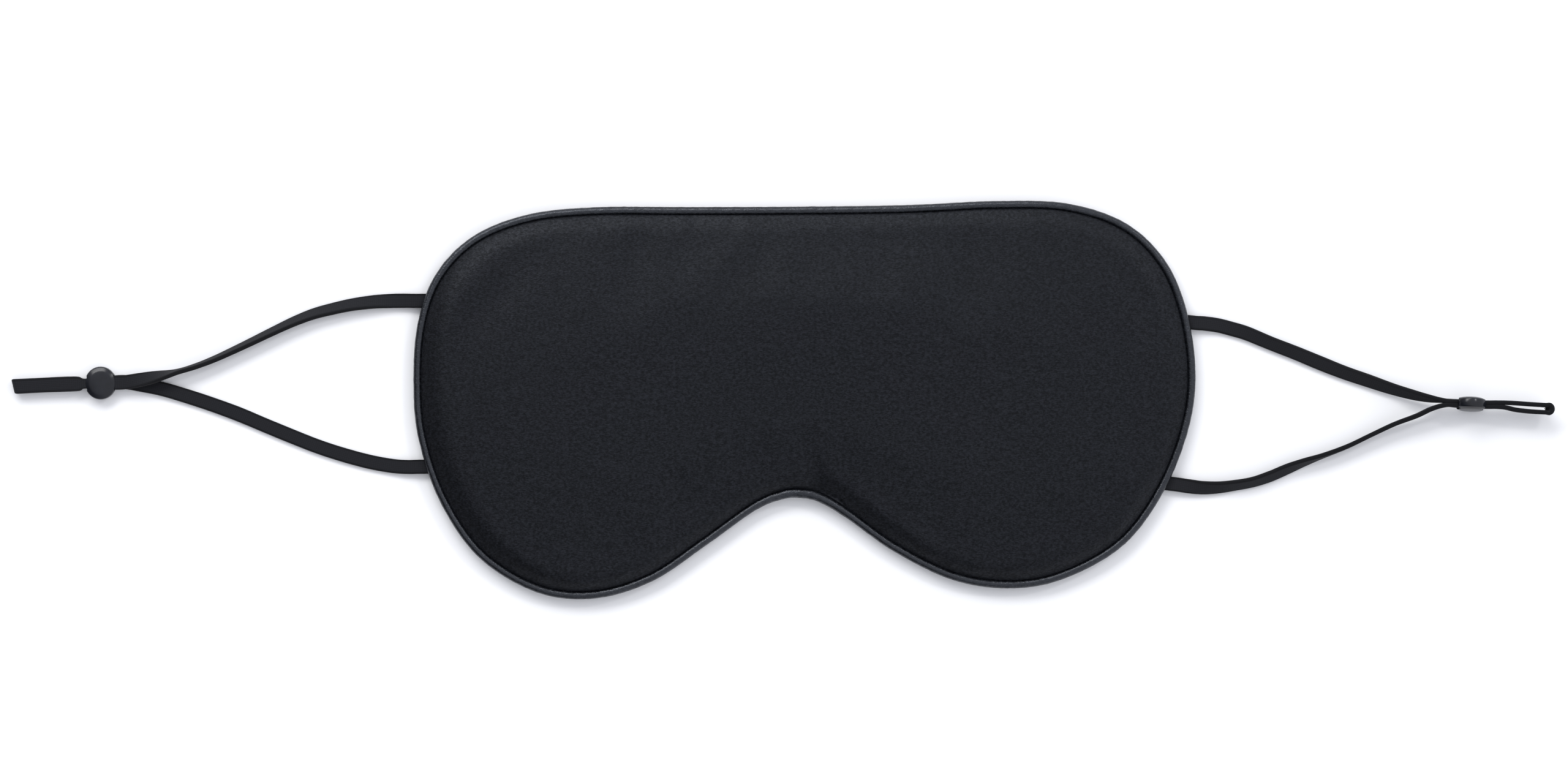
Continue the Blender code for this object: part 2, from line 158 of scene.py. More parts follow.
# Each leg of a loop runs outwards from its swing axis to the bead, as rows of x, y, the lift of
# its lowest edge over the floor, and its roll in degrees: 0 is flat and 90 is on edge.
LEGS = {
    "left": {
        "upper": [
            (-107.4, 29.2, 0.975, 0), (-110.8, 29.3, 0.7, 0), (-114.5, 29.3, 0.2, 10),
            (-119.5, 29.1, 0.0, 27), (-125.5, 28.4, 0.0, 38), (-131.0, 27.3, 0.0, 44),
            (-136.2, 26.0, 0.0, 50), (-141.6, 24.0, 0.0, 56), (-147.2, 21.5, 0.0, 62),
            (-153.0, 18.8, 0.0, 67), (-158.7, 16.2, 0.0, 71), (-164.0, 13.9, 0.1, 75),
            (-169.2, 12.0, 0.4, 79), (-174.2, 10.6, 0.8, 79), (-179.2, 9.5, 1.35, 50),
            (-184.2, 8.6, 1.95, 16),
        ],
        "lower": [
            (-107.4, -16.9, 0.975, 0), (-110.8, -16.9, 0.7, 0), (-114.5, -16.6, 0.2, 0),
            (-119.0, -15.8, 0.0, 0), (-123.5, -14.7, 0.0, 0), (-129.5, -12.9, 0.0, 0),
            (-135.5, -10.8, 0.0, 0), (-141.6, -8.3, 0.0, 0), (-149.5, -4.9, 0.0, 0),
            (-157.7, -1.3, 0.0, 0), (-165.8, 1.8, 0.0, 0), (-172.8, 4.2, 0.1, 0),
            (-178.6, 6.0, 0.3, 0), (-183.9, 7.2, 0.55, 0),
        ],
    },
    "right": {
        "upper": [
            (109.0, 19.3, 0.975, 0), (111.4, 19.1, 0.7, 0), (115.3, 18.5, 0.2, 0),
            (119.3, 17.4, 0.0, 4), (123.3, 16.1, 0.0, 12), (129.7, 13.3, 0.0, 24),
            (136.8, 10.4, 0.0, 22), (143.5, 7.5, 0.0, 18), (150.0, 4.8, 0.0, 26),
            (156.6, 2.4, 0.15, 35), (162.9, 0.1, 0.5, 48), (168.7, -1.7, 1.1, 58),
            (173.2, -2.8, 1.8, 72),
        ],
        "lower": [
            (103.0, -25.5, 0.975, 0), (106.0, -26.0, 0.7, 6), (110.0, -26.5, 0.2, 25),
            (114.5, -26.5, 0.0, 42), (119.1, -26.0, 0.0, 51), (124.0, -25.2, 0.0, 53),
            (128.9, -23.7, 0.0, 49), (133.8, -21.7, 0.0, 52), (138.6, -19.9, 0.0, 67),
            (144.0, -18.1, 0.0, 82), (150.6, -15.7, 0.0, 86), (157.1, -12.7, 0.3, 87),
            (163.5, -9.8, 0.9, 88), (169.6, -7.6, 1.6, 90), (173.8, -5.7, 2.15, 90),
        ],
    },
}

# The tail beyond each bead: rows of the distance from the bead's middle, how far each leg's strand
# lies to the side of the slide line (towards the upper leg is positive), and the band's width.
TAILS = {
    "left": {
        "roll": 0.0,
        "rows": [(0.0, 0.0, 0.0, 0.74), (4.5, 0.0, 0.0, 0.7), (5.3, 0.0, 0.0, 0.82),
                 (6.3, 0.03, -0.03, 1.0), (9.5, 0.08, -0.04, 1.03), (16.0, 0.03, -0.06, 1.02),
                 (23.2, -0.1, -0.14, 1.04)],
        "fold_slant": 0.2,
        "fold_lean": 0.0,
    },
    "right": {
        "roll": 90.0,
        "rows": [(0.0, 0.58, -0.58, 0.96), (4.6, 0.66, -0.48, 0.98), (7.0, 0.80, -0.36, 1.0),
                 (9.6, 0.90, -0.42, 1.0), (12.4, 0.92, -0.90, 1.0), (16.4, 0.84, -1.16, 1.0),
                 (20.8, 0.80, -1.18, 1.0)],
        "fold_slant": 0.0,
        "fold_lean": 28.0,
    },
}


# Meshes and curves


def finish_object(obj, body, material, replaced):
    """Gives a piece its material, puts it on its body if it has one, and hides the imported parts it
    stands for.
    """
    obj.data.materials.clear()
    obj.data.materials.append(material)
    if body:
        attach(obj, body)
    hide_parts(*replaced)
    return obj


def link_object(name, mesh):
    obj = bpy.data.objects.new(name, mesh)
    bpy.context.scene.collection.objects.link(obj)
    return obj


def mesh_object(name, points, faces, smooth=True):
    """An object from points in millimetres, with all its faces turned outwards."""
    mesh = bpy.data.meshes.new(name)
    mesh.from_pydata([tuple(p) for p in np.asarray(points) * MM], [], faces)
    bm = bmesh.new()
    bm.from_mesh(mesh)
    bmesh.ops.recalc_face_normals(bm, faces=bm.faces)
    bm.to_mesh(mesh)
    bm.free()
    if smooth:
        mesh.shade_smooth()
    return link_object(name, mesh)


def through_points(rows, samples, closed=False):
    """Catmull-Rom curve through rows of numbers. An open curve includes both of its ends."""
    rows = np.asarray(rows, float)
    count = len(rows)
    made = []
    for i in range(count if closed else count - 1):
        if closed:
            a, b, c, d = (rows[(i + k) % count] for k in (-1, 0, 1, 2))
        else:
            a, b, c, d = rows[max(i - 1, 0)], rows[i], rows[i + 1], rows[min(i + 2, count - 1)]
        for t in np.arange(samples) / samples:
            made.append(0.5 * (2 * b + (c - a) * t + (2 * a - 5 * b + 4 * c - d) * t**2
                               + (3 * b - a - 3 * c + d) * t**3))
    if not closed:
        made.append(rows[-1])
    return np.array(made)


def evenly(points, spacing):
    """A closed curve's points again, at one even spacing."""
    ends = np.vstack([points, points[:1]])
    run = np.concatenate([[0], np.cumsum(np.linalg.norm(np.diff(ends, axis=0), axis=1))])
    places = np.linspace(0, run[-1], round(run[-1] / spacing), endpoint=False)
    return np.column_stack([np.interp(places, run, ends[:, k]) for k in range(points.shape[1])])


def inward_normals(points):
    along = np.roll(points, -1, 0) - np.roll(points, 1, 0)
    normals = np.column_stack([along[:, 1], -along[:, 0]])
    return normals / np.linalg.norm(normals, axis=1)[:, None]


OUTLINE = evenly(through_points(PAD_OUTLINE, OUTLINE_SAMPLES, closed=True), OUTLINE_SPACING)
OUTLINE_NORMALS = inward_normals(OUTLINE)
OUTLINE_STEP = np.linalg.norm(OUTLINE[1] - OUTLINE[0])


def nearest_outline(points):
    """For each point its inset, its place along the outline, and the inward direction there."""
    points = np.asarray(points, float)
    start, span = OUTLINE, np.roll(OUTLINE, -1, 0) - OUTLINE
    rel = points[:, None, :] - start[None]
    share = np.clip((rel * span).sum(2) / (span * span).sum(1), 0, 1)
    distance = np.linalg.norm(rel - span * share[..., None], axis=2)
    best = distance.argmin(1)
    rows = np.arange(len(points))
    t = share[rows, best]
    following = (best + 1) % len(OUTLINE)
    inward = OUTLINE_NORMALS[best] * (1 - t)[:, None] + OUTLINE_NORMALS[following] * t[:, None]
    return distance[rows, best], (best + t) * OUTLINE_STEP, inward


def smooth_step(value, low, high):
    t = np.clip((np.asarray(value, float) - low) / (high - low), 0, 1)
    return t * t * (3 - 2 * t)


def wavy(points, scale, seed):
    """Smooth noise from about -1 to 1 at each 2D point. scale is the length of one wave."""
    return np.array([noise.noise(Vector((x / scale, y / scale, seed))) for x, y in points]) * 1.6


# Camera, light and floor


def make_camera():
    data = bpy.data.cameras.new("camera")
    data.sensor_width = SENSOR_WIDTH
    data.lens = SENSOR_WIDTH * CAMERA_DISTANCE / VIEW_WIDTH
    camera = link_object("camera", data)
    camera.location = Vector((*VIEW_CENTRE, PIPING_HEIGHT + CAMERA_DISTANCE)) * MM
    camera.rotation_euler = (0, 0, math.radians(VIEW_TURN))
    bpy.context.scene.camera = camera


def add_softbox(name, place, target, size, power):
    data = bpy.data.lights.new(name, "AREA")
    data.shape = "RECTANGLE"
    data.size, data.size_y = size
    data.energy = power
    light = link_object(name, data)
    light.location = place
    light.rotation_euler = (Vector(target) - Vector(place)).to_track_quat("-Z", "Y").to_euler()


def make_stage():
    scene = bpy.context.scene
    scene.view_settings.view_transform = "Standard"
    scene.view_settings.look = "None"
    world = bpy.data.worlds.new("studio")
    world.use_nodes = True
    background = world.node_tree.nodes["Background"]
    background.inputs["Color"].default_value = (0.95, 0.97, 1.04, 1)
    nodes, links = world.node_tree.nodes, world.node_tree.links
    direction = nodes.new("ShaderNodeTexCoord")
    towards = nodes.new("ShaderNodeVectorMath")
    towards.operation = "DOT_PRODUCT"
    towards.inputs[1].default_value = DIM_SIDE
    links.new(direction.outputs["Generated"], towards.inputs[0])
    dimmer = nodes.new("ShaderNodeMapRange")
    for key, value in {"From Min": 0.15, "From Max": 0.85, "To Min": 1.08, "To Max": 0.06}.items():
        dimmer.inputs[key].default_value = value
    links.new(towards.outputs["Value"], dimmer.inputs["Value"])
    links.new(dimmer.outputs[0], background.inputs["Strength"])
    scene.world = world
    add_softbox("key", (-0.50, 1.08, 1.15), (0, 0, 0), (1.3, 0.5), 13.5)
    add_softbox("kicker", (0.95, 0.80, 1.25), (0, 0, 0), (0.17, 0.17), 2.8)
    floor = mesh_object("floor", [(-9000, -9000, -0.05), (9000, -9000, -0.05),
                                  (9000, 9000, -0.05), (-9000, 9000, -0.05)], [(0, 1, 2, 3)], False)
    paper = bpy.data.materials.new("paper")
    paper.use_nodes = True
    shader = paper.node_tree.nodes["Principled BSDF"]
    shader.inputs["Base Color"].default_value = (0.93, 0.93, 0.93, 1)
    shader.inputs["Roughness"].default_value = 0.9
    shader.inputs["Specular IOR Level"].default_value = 0.2
    floor.data.materials.append(paper)


# Materials


class Shading:
    """A material's nodes, made one after another."""

    def __init__(self, name):
        self.material = bpy.data.materials.new(name)
        self.material.use_nodes = True
        self.nodes = self.material.node_tree.nodes
        self.links = self.material.node_tree.links
        self.shader = self.nodes["Principled BSDF"]

    def add(self, kind, inputs=(), **settings):
        node = self.nodes.new(kind)
        for key, value in settings.items():
            setattr(node, key, value)
        for key, value in dict(inputs).items():
            if isinstance(value, bpy.types.NodeSocket):
                self.links.new(value, node.inputs[key])
            else:
                node.inputs[key].default_value = value
        return node

    def set(self, **inputs):
        for key, value in inputs.items():
            socket = self.shader.inputs[key.replace("_", " ")]
            if isinstance(value, bpy.types.NodeSocket):
                self.links.new(value, socket)
            else:
                socket.default_value = value

    def coordinates(self, kind="Object", scale=(1, 1, 1), turn=0.0):
        """The piece's own coordinates in millimetres, stretched and turned."""
        source = self.add("ShaderNodeTexCoord").outputs[kind]
        unit = 1 / MM if kind == "Object" else 1
        return self.add("ShaderNodeMapping", {
            "Vector": source,
            "Scale": tuple(unit * s for s in scale),
            "Rotation": (0, 0, math.radians(turn)),
        }).outputs[0]

    def noise(self, vector, scale, detail=2.0, roughness=0.5):
        return self.add("ShaderNodeTexNoise", {
            "Vector": vector, "Scale": scale, "Detail": detail, "Roughness": roughness,
        }).outputs["Fac"]

    def math(self, operation, one, other=0.0):
        return self.add("ShaderNodeMath", {0: one, 1: other}, operation=operation).outputs[0]

    def ramp(self, factor, low, high, from_low=0.0, from_high=1.0):
        """A value from low to high as factor goes from from_low to from_high."""
        return self.add("ShaderNodeMapRange", {
            "Value": factor, "From Min": from_low, "From Max": from_high,
            "To Min": low, "To Max": high,
        }).outputs[0]

    def colours(self, factor, dark, light):
        mix = self.add("ShaderNodeMix", data_type="RGBA")
        self.links.new(factor, mix.inputs[0])
        mix.inputs[6].default_value = (*dark, 1)
        mix.inputs[7].default_value = (*light, 1)
        return mix.outputs[2]

    def bump(self, height, distance, strength):
        """A normal for a relief of height, this many millimetres deep."""
        return self.add("ShaderNodeBump", {
            "Height": height, "Distance": distance * MM, "Strength": strength,
        }).outputs[0]


def satin_material(name, dark, light, roughness, gloss, dulling):
    """Satin: fine floats along one direction, and a soft broad gloss that dulls at its rim."""
    s = Shading(name)
    floats = s.noise(s.coordinates(scale=(1.3, 3.6, 2.0), turn=12), 1.0, 2.0, 0.6)
    slubs = s.noise(s.coordinates(), 1.1, 3.0, 0.75)
    lie = s.noise(s.coordinates(), 0.035, 2.0)
    grain = s.math("ADD", s.math("MULTIPLY", floats, 0.5), s.math("MULTIPLY", slubs, 0.5))
    facing = s.add("ShaderNodeLayerWeight", {"Blend": 0.5}).outputs["Facing"]
    grazing = s.math("MULTIPLY", s.math("POWER", facing, 2.0), dulling)
    s.set(
        Base_Color=s.colours(s.ramp(grain, 0, 1, 0.42, 0.62), dark, light),
        Roughness=s.math("ADD", s.ramp(lie, roughness - 0.015, roughness + 0.02, 0.3, 0.7),
                         s.math("ADD", s.ramp(grain, 0.12, -0.12, 0.35, 0.65), grazing)),
        Normal=s.bump(grain, 0.16, 0.9),
    )
    s.shader.inputs["Specular IOR Level"].default_value = gloss
    s.shader.inputs["Specular Tint"].default_value = (0.86, 0.91, 1.0, 1)
    s.shader.inputs["Sheen Weight"].default_value = 0.02 if dulling else 0.0
    s.shader.inputs["Sheen Roughness"].default_value = 0.5
    s.shader.inputs["Sheen Tint"].default_value = (0.75, 0.82, 1.0, 1)
    return s.material


def woven_material(name, dark, light, pitch, roughness, depth):
    """A plain weave whose threads are pitch millimetres apart."""
    s = Shading(name)
    place = s.add("ShaderNodeSeparateXYZ", {0: s.coordinates()})
    turns = 2 * math.pi / pitch
    warp = s.math("SINE", s.math("MULTIPLY", place.outputs[0], turns))
    weft = s.math("SINE", s.math("MULTIPLY", place.outputs[1], turns))
    weave = s.ramp(s.math("MULTIPLY", warp, weft), 0, 1, -1, 1)
    slubs = s.noise(s.coordinates(scale=(0.3, 2.0, 1.0)), 1.0, 3.0)
    tone = s.math("ADD", s.math("MULTIPLY", weave, 0.5), s.math("MULTIPLY", slubs, 0.5))
    s.set(Base_Color=s.colours(tone, dark, light),
          Roughness=s.ramp(slubs, roughness - 0.05, roughness + 0.05),
          Normal=s.bump(tone, depth, 0.6))
    s.shader.inputs["Specular IOR Level"].default_value = 0.2
    return s.material


def elastic_material():
    """A flat braid: ribs along the band, crossed by slanting stitches, with painted shade on its rounded
    edges.
    """
    s = Shading("elastic_braid")
    place = s.add("ShaderNodeSeparateXYZ", {0: s.coordinates("UV")})
    along, across = place.outputs[0], place.outputs[1]
    rib = s.math("ABSOLUTE", s.math("SINE", s.math("MULTIPLY", across, math.pi / 0.5)))
    slant = s.math("ADD", s.math("MULTIPLY", along, 2 * math.pi / 0.55),
                   s.math("MULTIPLY", rib, 1.6))
    stitch = s.ramp(s.math("SINE", slant), 0, 1, -1, 1)
    fuzz = s.noise(s.coordinates("UV", scale=(2.5, 6, 1)), 1.0, 4.0, 0.65)
    knit = s.math("ADD", s.math("MULTIPLY", rib, 0.5), s.math("MULTIPLY", stitch, 0.5))
    tone = s.math("ADD", s.math("MULTIPLY", knit, 0.36), s.math("MULTIPLY", fuzz, 0.64))
    corners = band_section()
    half_girth = sum(math.dist(a, b) for a, b in zip(corners, corners[1:len(corners) // 2 + 1]))
    place_round = s.math("MODULO", across, half_girth)
    flat = BAND_WIDTH - 2 * BAND_EDGE
    # Painted shade: the band's rounded edges are darkened to about a tenth of its tone whichever way the
    # band faces, and its flat middle is raised a little.
    painted_edge_shade = s.math("MAXIMUM", s.ramp(place_round, 0, 1, flat - 0.4, flat),
                      s.ramp(place_round, 1, 0, 0.0, 0.35))
    tone_and_painted_shade = s.math("MULTIPLY", tone, s.ramp(painted_edge_shade, 1.08, 0.12))
    s.set(
        Base_Color=s.colours(tone_and_painted_shade, (0.0016, 0.0017, 0.0026), (0.0160, 0.0166, 0.0202)),
        Roughness=s.ramp(fuzz, 0.75, 0.95),
        Normal=s.bump(tone, 0.08, 0.7),
    )
    s.shader.inputs["Specular IOR Level"].default_value = 0.18
    s.shader.inputs["Sheen Weight"].default_value = 0.04
    s.shader.inputs["Sheen Roughness"].default_value = 0.6
    return s.material


def silicone_material():
    """Moulded silicone with a slight bluish bloom and fine mould texture."""
    s = Shading("bead_silicone")
    mould = s.noise(s.coordinates(), 3.5, 3.0)
    bloom = s.noise(s.coordinates(), 0.35, 2.0)
    s.set(
        Base_Color=s.colours(s.ramp(bloom, 0, 1, 0.3, 0.7),
                             (0.003, 0.0035, 0.0055), (0.007, 0.008, 0.012)),
        Roughness=s.ramp(mould, 0.18, 0.25, 0.3, 0.7),
        Normal=s.bump(mould, 0.008, 0.4),
    )
    s.shader.inputs["Specular IOR Level"].default_value = 0.36
    return s.material


def foam_material():
    """Off-white open foam with fine cells."""
    s = Shading("foam_wadding")
    foam = s.add("ShaderNodeTexVoronoi", {"Vector": s.coordinates(), "Scale": 1.6})
    cells = foam.outputs["Distance"]
    fibres = s.noise(s.coordinates(), 0.8, 5.0, 0.7)
    tone = s.math("ADD", s.math("MULTIPLY", cells, 0.6), s.math("MULTIPLY", fibres, 0.5))
    s.set(Base_Color=s.colours(tone, (0.58, 0.56, 0.50), (0.82, 0.81, 0.77)),
          Roughness=s.ramp(fibres, 0.88, 1.0), Normal=s.bump(tone, 0.25, 0.6))
    return s.material


def yarn_material(name, dark, light, pitch, roughness):
    """Twisted yarn: slanting plies along the piece's UV length."""
    s = Shading(name)
    place = s.add("ShaderNodeSeparateXYZ", {0: s.coordinates("UV")})
    slant = s.math("ADD", s.math("MULTIPLY", place.outputs[0], 2 * math.pi / pitch),
                   s.math("MULTIPLY", place.outputs[1], 2.4))
    ply = s.ramp(s.math("SINE", slant), 0, 1, -1, 1)
    fibres = s.noise(s.coordinates(scale=(2, 2, 2)), 1.0, 3.0)
    tone = s.math("ADD", s.math("MULTIPLY", ply, 0.7), s.math("MULTIPLY", fibres, 0.3))
    s.set(Base_Color=s.colours(tone, dark, light),
          Roughness=s.ramp(fibres, roughness - 0.05, roughness + 0.05),
          Normal=s.bump(tone, 0.06, 0.7))
    s.shader.inputs["Specular IOR Level"].default_value = 0.2
    return s.material


# The elastic loops


def heading_of(side):
    """The direction that the bead slides in, outwards along the tail."""
    return Vector(JOINTS[f"{side}_bead_slide"]["axis"]).normalized()


def bead_middle(side):
    low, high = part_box(f"{side}_bead")
    return (low + high) / 2 / MM


def across_vector(along, roll):
    """The direction across the band's face, for a band that runs along and is rolled by roll."""
    level = UP.cross(along).normalized()
    return (level * math.cos(roll) + UP * math.sin(roll)).normalized()


def stack_vector(side):
    """The direction from the lower leg's strand to the upper leg's strand at the bead."""
    along = heading_of(side)
    stack = along.cross(across_vector(along, math.radians(TAILS[side]["roll"])))
    return stack if stack.dot(Vector((0, 1, 1))) > 0 else -stack


def resting_height(roll):
    """Height of the band's middle when its lowest edge touches the floor."""
    return BAND_WIDTH / 2 * abs(math.sin(roll)) + BAND_THICKNESS / 2 * abs(math.cos(roll))


def strand_place(side, leg, distance, aside):
    """A point of the doubled band, this far from the bead's middle along the slide line."""
    along = heading_of(side)
    place = bead_middle(side) + along * distance
    if TAILS[side]["roll"]:
        return place + stack_vector(side) * aside
    sign = 1 if leg == "upper" else -1
    place += stack_vector(side) * sign * STRAND_SPACING / 2
    level = UP.cross(along)
    return place + (level if level.y > 0 else -level) * aside


def leg_stations(side, leg):
    """Rows of x, y, z, roll and width along one leg, from its sewn end to the end of the tail."""
    tail = TAILS[side]
    column = 1 if leg == "upper" else 2
    rows = [(x, y, lift + resting_height(math.radians(roll)), roll, 1.0)
            for x, y, lift, roll in LEGS[side][leg]]
    near = tail["rows"][0]
    inner = strand_place(side, leg, -DOUBLED_INWARD, near[column])
    rows.append((*inner, tail["roll"], 1.0))
    rows.append((*strand_place(side, leg, -DOUBLED_NEAR, near[column]), tail["roll"], 1.0))
    for distance, *offsets, width in tail["rows"]:
        rows.append((*strand_place(side, leg, distance, offsets[column - 1]), tail["roll"], width))
    sewn = sewn_direction(side)
    first = Vector(rows[0][:3])
    sewn_rows = [(*(first - sewn * d), 0.0, 1.0) for d in (SEWN_LENGTH, SEWN_LENGTH / 2)]
    made = through_points(sewn_rows + rows, LEG_SAMPLES)
    for row in made:
        row[2] = max(row[2], resting_height(math.radians(row[3])))
    return made


def sewn_direction(side):
    """Level, square to the swing axis and away from the pad."""
    axis = Vector(JOINTS[f"{side}_loop_swing"]["axis"])
    away = axis.cross(UP).normalized()
    return away if away.dot(heading_of(side)) > 0 else -away


def fold_rows(side, upper_end, lower_end):
    """The half turn at the end of the tail, between the ends of the two strands."""
    along = heading_of(side)
    one, other = Vector(upper_end[:3]), Vector(lower_end[:3])
    middle, half = (one + other) / 2, (one - other) / 2
    made = []
    for i in range(1, FOLD_STEPS):
        angle = math.pi * i / FOLD_STEPS
        place = middle + half * math.cos(angle) + along * half.length * math.sin(angle)
        made.append((*place, upper_end[3], upper_end[4]))
    return made


def band_section():
    """Corners of the band's ribbed section, as distances across its face and up from it."""
    steps = BAND_RIBS * 4
    flat = BAND_WIDTH / 2 - BAND_EDGE
    top = []
    for i in range(steps + 1):
        x = flat - 2 * flat * i / steps
        relief = RIB_RELIEF * math.cos(2 * math.pi * BAND_RIBS * i / steps)
        top.append((x, BAND_THICKNESS / 2 - RIB_RELIEF - relief * 0.5))
    side = []
    for i in range(1, 5):
        angle = math.pi / 2 + math.pi * i / 5
        side.append((-flat + BAND_EDGE * math.cos(angle),
                     (BAND_THICKNESS / 2 - RIB_RELIEF) * math.sin(angle)))
    half = top + side
    return half + [(-x, -y) for x, y in half]


def swept(name, middles, acrosses, scales, shifts):
    """The band's section swept along the middles, with its length and girth as a UV map in mm."""
    section = band_section()
    middles = [Vector(m) for m in middles]
    count, girth = len(middles), len(section)
    points, lengths = [], []
    run = 0.0
    for i, middle in enumerate(middles):
        along = (middles[min(i + 1, count - 1)] - middles[max(i - 1, 0)]).normalized()
        across = (acrosses[i] - along * acrosses[i].dot(along)).normalized()
        face = along.cross(across)
        if i:
            run += (middle - middles[i - 1]).length
        lengths.append(run)
        for x, y in section:
            offset = across * (x * scales[i]) + face * y
            point = middle + offset + shifts[i] * offset.y
            points.append((point.x, point.y, max(point.z, LOWEST)))
    faces = [(i * girth + j, i * girth + (j + 1) % girth,
              (i + 1) * girth + (j + 1) % girth, (i + 1) * girth + j)
             for i in range(count - 1) for j in range(girth)]
    faces.append(tuple(range(girth)))
    faces.append(tuple(reversed(range((count - 1) * girth, count * girth))))
    obj = mesh_object(name, points, faces)
    around = np.cumsum([0] + [math.dist(section[j - 1], section[j]) for j in range(1, girth)])
    uv = obj.data.uv_layers.new(name="weave").data
    for polygon in obj.data.polygons:
        for loop in polygon.loop_indices:
            ring, corner = divmod(obj.data.loops[loop].vertex_index, girth)
            uv[loop].uv = (lengths[ring], around[corner])
    return obj


def make_loop(side, material):
    """One strip of elastic: out of the seam, through the bead, round the tail's fold and back."""
    tail = TAILS[side]
    upper, lower = leg_stations(side, "upper"), leg_stations(side, "lower")
    fold = np.array(fold_rows(side, upper[-1], lower[-1]))
    rows = np.vstack([upper, fold, lower[::-1]])
    along = heading_of(side)
    middle = bead_middle(side)
    acrosses, scales, shifts = [], [], []
    leg_length = len(upper)
    for i, (x, y, z, roll, width) in enumerate(rows):
        ahead = Vector(rows[min(i + 1, len(rows) - 1)][:3]) - Vector(rows[max(i - 1, 0)][:3])
        if leg_length <= i < leg_length + len(fold):
            ahead = along
        elif i >= leg_length:
            ahead = -ahead
        across = across_vector(ahead.normalized(), math.radians(roll))
        beyond = (Vector((x, y, z)) - middle).dot(along)
        at_fold = float(smooth_step(beyond, tail["rows"][-1][0] - 3.0, tail["rows"][-1][0] + 0.5))
        if tail["fold_lean"]:
            lean = math.radians(tail["fold_lean"]) * at_fold
            across = (across * math.cos(lean) + along * math.sin(lean)).normalized()
        ripple = 1 + 0.018 * noise.noise(Vector((x / 9, y / 9, i / len(rows) * 3)))
        acrosses.append(across)
        scales.append(width * ripple)
        shifts.append(along * tail["fold_slant"] * at_fold)
    band = swept(f"{side}_elastic_band", rows[:, :3], acrosses, scales, shifts)
    finish_object(band, None, material,
                  (f"{side}_ear_band", f"{side}_upper_sewn_end", f"{side}_lower_sewn_end"))
    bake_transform(band)
    path = [Vector(p) * MM for p in rows[:, :3]]
    length = sum((b - a).length for a, b in zip(path, path[1:]))
    return band, path, length


# The beads


def bead_profile():
    """The bead's outer side, from the middle of its top face round to the middle of its bottom."""
    half = BEAD_THICKNESS / 2
    face = BEAD_RADIUS - BEAD_DRAFT - BEAD_ROUNDING
    top = [(face * t, half - BEAD_DOME * t**2) for t in (0, 0.3, 0.5, 0.68, 0.8)]
    top += [(face * 0.88, half - BEAD_DOME * 0.8 - BEAD_BEVEL * 0.22),
            (face * 0.94, half - BEAD_DOME * 0.9 - BEAD_BEVEL * 0.6)]
    shoulder = half - BEAD_DOME - BEAD_BEVEL
    for i in range(10):
        angle = math.radians(64 - 58 * i / 9)
        top.append((face + BEAD_ROUNDING * math.cos(angle),
                    shoulder - BEAD_ROUNDING + BEAD_ROUNDING * math.sin(angle)))
    top.append((BEAD_RADIUS, 0.25))
    return top + [(x, -z) for x, z in reversed(top)]


def make_bead(side, material):
    """A domed disc with a slot for the doubled band. Its own X axis points along the tail."""
    along, stack = heading_of(side), stack_vector(side)
    lean = Matrix.Rotation(math.radians(BEAD_LEAN[side]), 3, along)
    stack = lean @ stack
    turn = Matrix([list(row) for row in zip(along, stack.cross(along), stack)]).to_4x4()
    profile = bead_profile()
    points = [(x * math.cos(a) * BEAD_ALONG, x * math.sin(a), z)
              for a in (2 * math.pi * i / BEAD_STEPS for i in range(BEAD_STEPS))
              for x, z in profile[1:-1]]
    size = len(profile) - 2
    starts = [(i * size, (i + 1) % BEAD_STEPS * size) for i in range(BEAD_STEPS)]
    faces = [(one + j, one + j + 1, other + j + 1, other + j)
             for one, other in starts for j in range(size - 1)]
    points += [(0, 0, profile[0][1]), (0, 0, profile[-1][1])]
    middle = bead_middle(side)
    lowest = middle.z + min((turn @ Vector(p)).z for p in points)
    place = Matrix.Translation((middle + UP * max(0.0, LOWEST - lowest)) * MM) @ turn
    top, bottom = len(points) - 2, len(points) - 1
    for one, other in starts:
        faces += [(top, one, other), (bottom, other + size - 1, one + size - 1)]
    bead = mesh_object(f"{side}_silicone_bead", points, faces)
    cutter_mesh = bpy.data.meshes.new(f"{side}_slot")
    bm = bmesh.new()
    bmesh.ops.create_cube(bm, size=1.0)
    slot_size = Vector((4 * BEAD_RADIUS, SLOT_WIDTH, SLOT_HEIGHT[side])) * MM
    bmesh.ops.scale(bm, vec=slot_size, verts=bm.verts)
    edges = [e for e in bm.edges if abs((e.verts[0].co - e.verts[1].co).normalized().x) > 0.9]
    bmesh.ops.bevel(bm, geom=edges, offset=SLOT_CORNER * MM, segments=6, profile=0.5,
                    affect="EDGES")
    bm.to_mesh(cutter_mesh)
    bm.free()
    cutter = link_object(f"{side}_slot", cutter_mesh)
    cut = bead.modifiers.new("slot", "BOOLEAN")
    cut.operation = "DIFFERENCE"
    cut.object = cutter
    rounded = bead.modifiers.new("lips", "BEVEL")
    rounded.width = SLOT_LIP * MM
    rounded.segments = 3
    rounded.limit_method = "ANGLE"
    rounded.angle_limit = math.radians(50)
    bpy.context.view_layer.update()
    final = bpy.data.meshes.new_from_object(bead.evaluated_get(bpy.context.evaluated_depsgraph_get()))
    bead.modifiers.clear()
    bpy.data.objects.remove(cutter)
    bead.data = final
    final.shade_smooth()
    final.set_sharp_from_angle(angle=math.radians(60))
    bead.matrix_world = place
    return finish_object(bead, f"{side}_adjuster", material, (f"{side}_bead",))


# The pad


def crowding(points):
    """1 where the piping crowds together at the top of the notch, and 0 away from it."""
    return np.exp(-(((points[:, 0] + 1) / 9) ** 2)) * (points[:, 1] < -20)


def edge_ring(inset):
    """The outline moved inwards, and further where the crowded piping pushes the cover back."""
    return OUTLINE + OUTLINE_NORMALS * (inset + NOTCH_RETREAT * crowding(OUTLINE))[:, None]


